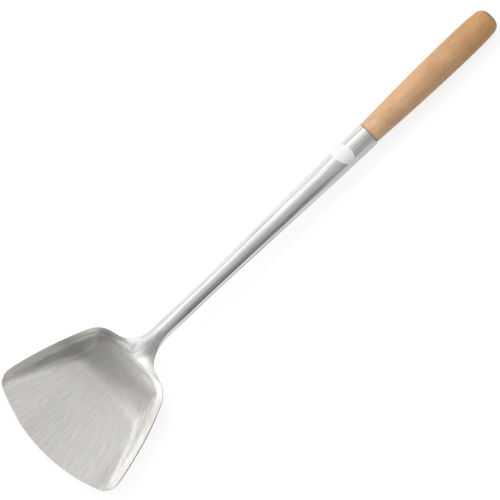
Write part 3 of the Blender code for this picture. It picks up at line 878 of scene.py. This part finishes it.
class WOKSPATULA_OT_handle(bpy.types.Operator):
    """Turns the wooden handle with its tenon"""
    bl_idname = "wokspatula.handle"
    bl_label = "Wooden handle"

    def execute(self, context):
        handle = settings().handle
        deselect_all()
        bpy.ops.mesh.primitive_circle_add(
            vertices=handle.steps, radius=handle.tenon_end, fill_type="NGON")
        item = context.object
        item.name = "turned_handle"
        edit_all()
        radius = handle.tenon_end
        height = 0.0
        for z, wanted in self.profile(handle):
            bpy.ops.mesh.extrude_region_move(TRANSFORM_OT_translate={"value": (0, 0, z - height)})
            share = wanted / radius
            bpy.ops.transform.resize(value=(share, share, 1), center_override=(0, 0, z))
            radius = wanted
            height = z
        bpy.ops.mesh.inset(thickness=radius * 0.5, depth=0)
        object_mode()
        face_out(item)
        start = on_axis(handle.start - handle.tenon)
        place(item, Matrix.Translation(start) @ ALONG.to_track_quat("Z", "Y").to_matrix().to_4x4())
        modifier(item, "BEVEL", width=0.0003, segments=2, limit_method="ANGLE",
                 angle_limit=math.radians(25))
        finish_piece(item, turned_wood(), "wooden_handle")
        bpy.ops.object.shade_smooth_by_angle(angle=math.radians(40))
        return {"FINISHED"}

    def profile(self, handle):
        """Heights and radii from the tenon's inner end to the butt."""
        rows = [(TENON_STEP, handle.tenon_end), (handle.tenon, handle.tenon_radius),
                (handle.tenon + CORNER_BACK, handle.start_radius - CORNER_IN)]
        straight = handle.length - handle.corner
        widest = handle.length - handle.widest_from_butt
        for ring in range(WOOD_RINGS + 1):
            z = WOOD_START + (straight - WOOD_START) * ring / WOOD_RINGS
            if z < widest:
                share = math.sin(z / widest * math.pi / 2)
                radius = handle.start_radius + (handle.widest_radius - handle.start_radius) * share
            else:
                share = ((z - widest) / (straight - widest)) ** 3
                radius = handle.widest_radius + (handle.butt_radius - handle.widest_radius) * share
            rows.append((handle.tenon + z, radius))
        for ring in range(1, BUTT_RINGS + 1):
            angle = ring / BUTT_RINGS * math.pi / 2
            rows.append((handle.tenon + straight + handle.corner * math.sin(angle),
                         handle.butt_radius - handle.corner_depth * (1 - math.cos(angle))))
        return rows


# The nail's shares: how far the head's crown is drawn in and up, the length of the straight shaft and
# of the point, and the width of its tip. The head is sunk a little into the sheet.
CROWN_IN = 0.28
CROWN_UP = 0.18
SHAFT_SHARE = 0.8
POINT_SHARE = 0.2
TIP = (0.1, 0.1, 1)
SUNK = 0.0001


class WOKSPATULA_OT_nail(bpy.types.Operator):
    """Makes the nail that holds the handle in its socket"""
    bl_idname = "wokspatula.nail"
    bl_label = "Nail"

    def execute(self, context):
        steel = settings().steel
        deselect_all()
        bpy.ops.mesh.primitive_cylinder_add(
            vertices=48, radius=steel.nail_head / 2, depth=steel.nail_height)
        item = context.object
        item.name = "driven_nail"
        bpy.ops.object.mode_set(mode="EDIT")
        bpy.ops.mesh.select_mode(type="FACE")
        self.pick_cap(item, 1)
        bpy.ops.mesh.inset(thickness=steel.nail_head * CROWN_IN, depth=steel.nail_height * CROWN_UP)
        self.pick_cap(item, -1)
        bpy.ops.mesh.inset(thickness=(steel.nail_head - steel.nail_shaft) / 2, depth=0)
        for share in (SHAFT_SHARE, POINT_SHARE):
            down = (0, 0, -steel.nail_length * share)
            bpy.ops.mesh.extrude_region_move(TRANSFORM_OT_translate={"value": down})
        bpy.ops.transform.resize(value=TIP, center_override=(0, 0, 0))
        object_mode()
        modifier(item, "BEVEL", width=0.00018, segments=3, limit_method="ANGLE",
                 angle_limit=math.radians(35))
        x = steel.tube_end - steel.nail_from_mouth
        radius = shank_radius(x) + steel.nail_height / 2 - SUNK
        matrix = shank_matrix(x, steel.nail_angle, radius)
        place(item, matrix @ Matrix.Rotation(math.pi / 2, 4, "Y"))
        finish_piece(item, nail_steel(), "handle_nail")
        return {"FINISHED"}

    def pick_cap(self, item, side):
        """Selects the outermost face on one side of the head."""
        bpy.ops.mesh.select_all(action="DESELECT")
        bm = bmesh.from_edit_mesh(item.data)
        cap = max((face for face in bm.faces if face.normal.z * side > 0.9),
                  key=lambda face: face.calc_center_median().z * side)
        cap.select = True
        bm.faces.active = cap
        bmesh.update_edit_mesh(item.data)


# Rings of faces between the label's edge and its middle
LABEL_RINGS = 12


class WOKSPATULA_OT_label(bpy.types.Operator):
    """Wraps the bare oval label round the shank"""
    bl_idname = "wokspatula.label"
    bl_label = "Label"

    def execute(self, context):
        label = settings().label
        deselect_all()
        bpy.ops.mesh.primitive_circle_add(vertices=96, radius=0.5, fill_type="NGON")
        item = context.object
        item.name = "oval_label"
        edit_all()
        for _ in range(LABEL_RINGS - 1):
            bpy.ops.mesh.inset(thickness=0.5 / LABEL_RINGS, depth=0)
        bpy.ops.mesh.poke()
        object_mode()
        self.wrap(item, label)
        modifier(item, "SOLIDIFY", thickness=label.thickness, offset=1.0)
        finish_piece(item, label_paper(), "size_label")
        bpy.ops.object.shade_smooth_by_angle(angle=math.radians(40))
        return {"FINISHED"}

    def wrap(self, item, label):
        """Rolls the flat oval on to the shank's taper."""
        bpy.ops.object.mode_set(mode="EDIT")
        bm = bmesh.from_edit_mesh(item.data)
        middle = settings().steel.tube_end - label.from_mouth
        for vert in bm.verts:
            x = middle + vert.co.x * label.length - vert.co.y * label.slant
            radius = shank_radius(x) + label.lift
            angle = label.angle - vert.co.y * label.girth / radius
            vert.co = swollen(on_axis(x, radius * math.cos(angle), radius * math.sin(angle)))
        bmesh.update_edit_mesh(item.data)
        object_mode()
        first_face = item.data.polygons[0]
        _, left, up = axis_part(first_face.center)
        if first_face.normal.dot(ACROSS * left + UP * up) < 0:
            edit_all()
            bpy.ops.mesh.flip_normals()
            object_mode()


# Stage

# The ways from the middle towards the soft lamp and towards the fill lamp
LAMP_WAY = Vector((0.1, 0.70, 0.72))
FILL_WAY = Vector((0.1, -0.60, 0.80))

# The dome's brightness from right to left, first for all of it and then for its parts towards the
# blade, over the middle and towards the handle, with the ways along X between which each takes over
DOME = (
    (0.0, 0.45), (0.10, 0.60), (0.16, 0.66), (0.21, 0.47), (0.26, 0.39), (0.50, 0.38), (0.54, 0.40),
    (0.59, 0.53), (0.64, 0.68), (0.69, 0.80), (0.80, 0.90), (1.0, 0.95))
DOME_PARTS = (
    (-0.70, -0.45, (
        (0.0, 0.40), (0.06, 0.44), (0.22, 0.49), (0.40, 0.47), (0.46, 0.58), (0.51, 0.63), (0.59, 0.51),
        (0.61, 0.59), (0.64, 0.82), (0.67, 1.0), (0.69, 1.35), (0.76, 1.48), (0.81, 1.40), (1.0, 1.43))),
    (-0.35, -0.08, (
        (0.0, 0.36), (0.06, 0.37), (0.11, 0.45), (0.16, 0.53), (0.21, 0.63), (0.25, 0.67), (0.34, 0.68),
        (0.39, 0.73), (0.44, 0.81), (0.54, 0.87), (0.585, 0.90), (0.61, 1.0), (0.66, 1.18), (0.69, 1.36),
        (0.74, 1.54), (0.78, 1.59), (0.89, 1.58), (0.93, 1.38), (0.96, 1.06), (1.0, 1.15))),
    (0.14, 0.28, (
        (0.0, 0.42), (0.24, 0.46), (0.29, 0.51), (0.36, 0.60), (0.41, 0.65), (0.51, 0.70), (0.56, 0.76),
        (0.59, 0.80), (0.61, 0.90), (0.64, 0.95), (0.68, 1.02), (0.76, 1.04), (0.86, 1.06), (0.91, 1.10),
        (1.0, 1.15))))


class WOKSPATULA_OT_stage(bpy.types.Operator):
    """Makes the pale floor, the light dome, two lamps and the camera"""
    bl_idname = "wokspatula.stage"
    bl_label = "Stage"

    def execute(self, context):
        stage = settings().stage
        self.floor(stage)
        self.dome(context, stage)
        self.lamp(stage, "stage_lamp", LAMP_WAY, stage.lamp_power)
        self.lamp(stage, "stage_fill", FILL_WAY, stage.fill_power)
        self.camera(context, stage)
        context.scene.view_settings.view_transform = "Standard"
        return {"FINISHED"}

    def floor(self, stage):
        """A floor that shows more white to the camera and in mirrors than its light gives it."""
        deselect_all()
        bpy.ops.mesh.primitive_plane_add(size=stage.floor_size)
        item = bpy.context.object
        item.name = "stage_floor"
        material, nodes, shader = new_material("pale floor")
        rays = nodes.add("ShaderNodeLightPath").outputs
        seen = nodes.plus(rays["Is Camera Ray"], rays["Is Glossy Ray"])
        seen = nodes.plus(seen, rays["Is Transmission Ray"], clamp=True)
        nodes.fill(shader, {"Base Color": stage.floor_colour, "Roughness": 0.8, "Emission Color": WHITE,
                            "Emission Strength": nodes.times(seen, stage.floor_glow)})
        item.data.materials.append(material)

    def dome(self, context, stage):
        """A light dome in four parts from the blade's end to the handle's, each bright on the left."""
        world = bpy.data.worlds.new("light dome")
        context.scene.world = world
        world.use_nodes = True
        nodes = Nodes(world.node_tree)
        back = world.node_tree.nodes["Background"]
        ahead, side, _ = nodes.parts(nodes.coordinates("Generated"))
        side = nodes.range(side, -1.0, 1.0, smooth=False)
        level = nodes.ramp(side, greys(DOME))
        for start, end, stops in DOME_PARTS:
            level = nodes.mix(nodes.range(ahead, start, end), level, nodes.ramp(side, greys(stops)))
        seen = nodes.add("ShaderNodeLightPath").outputs["Is Camera Ray"]
        colour = nodes.mix(seen, nodes.times(level, stage.sky), WHITE)
        nodes.fill(back, {"Color": colour, "Strength": 1.0})

    def lamp(self, stage, name, toward, power):
        """A large soft lamp high on one side, which lights the wood but isn't mirrored in the steel."""
        deselect_all()
        toward = toward.normalized()
        bpy.ops.object.light_add(type="AREA", location=toward * stage.lamp_distance)
        item = bpy.context.object
        item.name = name
        item.rotation_euler = toward.to_track_quat("Z", "Y").to_euler()
        item.data.shape = "SQUARE"
        item.data.size = stage.lamp_size
        item.data.energy = power
        item.visible_glossy = False

    def camera(self, context, stage):
        """The camera, leaning to the near side and rolled to the shank's angle in the picture."""
        toward = Vector((0.0, -math.sin(stage.lean), math.cos(stage.lean)))
        along = (ALONG - toward * ALONG.dot(toward)).normalized()
        across = toward.cross(along)
        right = along * math.cos(stage.roll) - across * math.sin(stage.roll)
        up = along * math.sin(stage.roll) + across * math.cos(stage.roll)
        target = on_axis(stage.target) + across * stage.target_shift
        turn = Matrix((right, up, toward)).transposed().to_4x4()
        bpy.ops.object.camera_add()
        item = context.object
        item.name = "stage_camera"
        item.matrix_world = Matrix.Translation(target + toward * stage.distance) @ turn
        item.data.lens = stage.lens
        item.data.sensor_width = 36.0
        item.data.clip_start = 0.01
        item.data.clip_end = 20.0
        context.scene.camera = item


class WOKSPATULA_PT_panel(bpy.types.Panel):
    """Buttons and settings of the wok spatula"""
    bl_idname = "WOKSPATULA_PT_panel"
    bl_label = "Wok Spatula"
    bl_space_type = "VIEW_3D"
    bl_region_type = "UI"
    bl_category = "Wok Spatula"

    def draw(self, context):
        for operator in OPERATORS:
            self.layout.operator(operator.bl_idname)
        spatula = context.scene.wok_spatula
        for part in (spatula.steel, spatula.handle, spatula.label, spatula.stage):
            box = self.layout.box()
            for key in part.__annotations__:
                box.prop(part, key)


GROUPS = (SteelSettings, HandleSettings, LabelSettings, StageSettings, SpatulaSettings)
OPERATORS = (WOKSPATULA_OT_sheet, WOKSPATULA_OT_handle, WOKSPATULA_OT_nail, WOKSPATULA_OT_label,
             WOKSPATULA_OT_stage)
CLASSES = GROUPS + OPERATORS + (WOKSPATULA_PT_panel,)


def register():
    for item in CLASSES:
        bpy.utils.register_class(item)
    bpy.types.Scene.wok_spatula = PointerProperty(type=SpatulaSettings)


def unregister():
    del bpy.types.Scene.wok_spatula
    for item in reversed(CLASSES):
        bpy.utils.unregister_class(item)


def main():
    register()
    bpy.ops.wokspatula.sheet()
    bpy.ops.wokspatula.handle()
    bpy.ops.wokspatula.nail()
    bpy.ops.wokspatula.label()
    bpy.ops.wokspatula.stage()


if __name__ == "__main__":
    main()
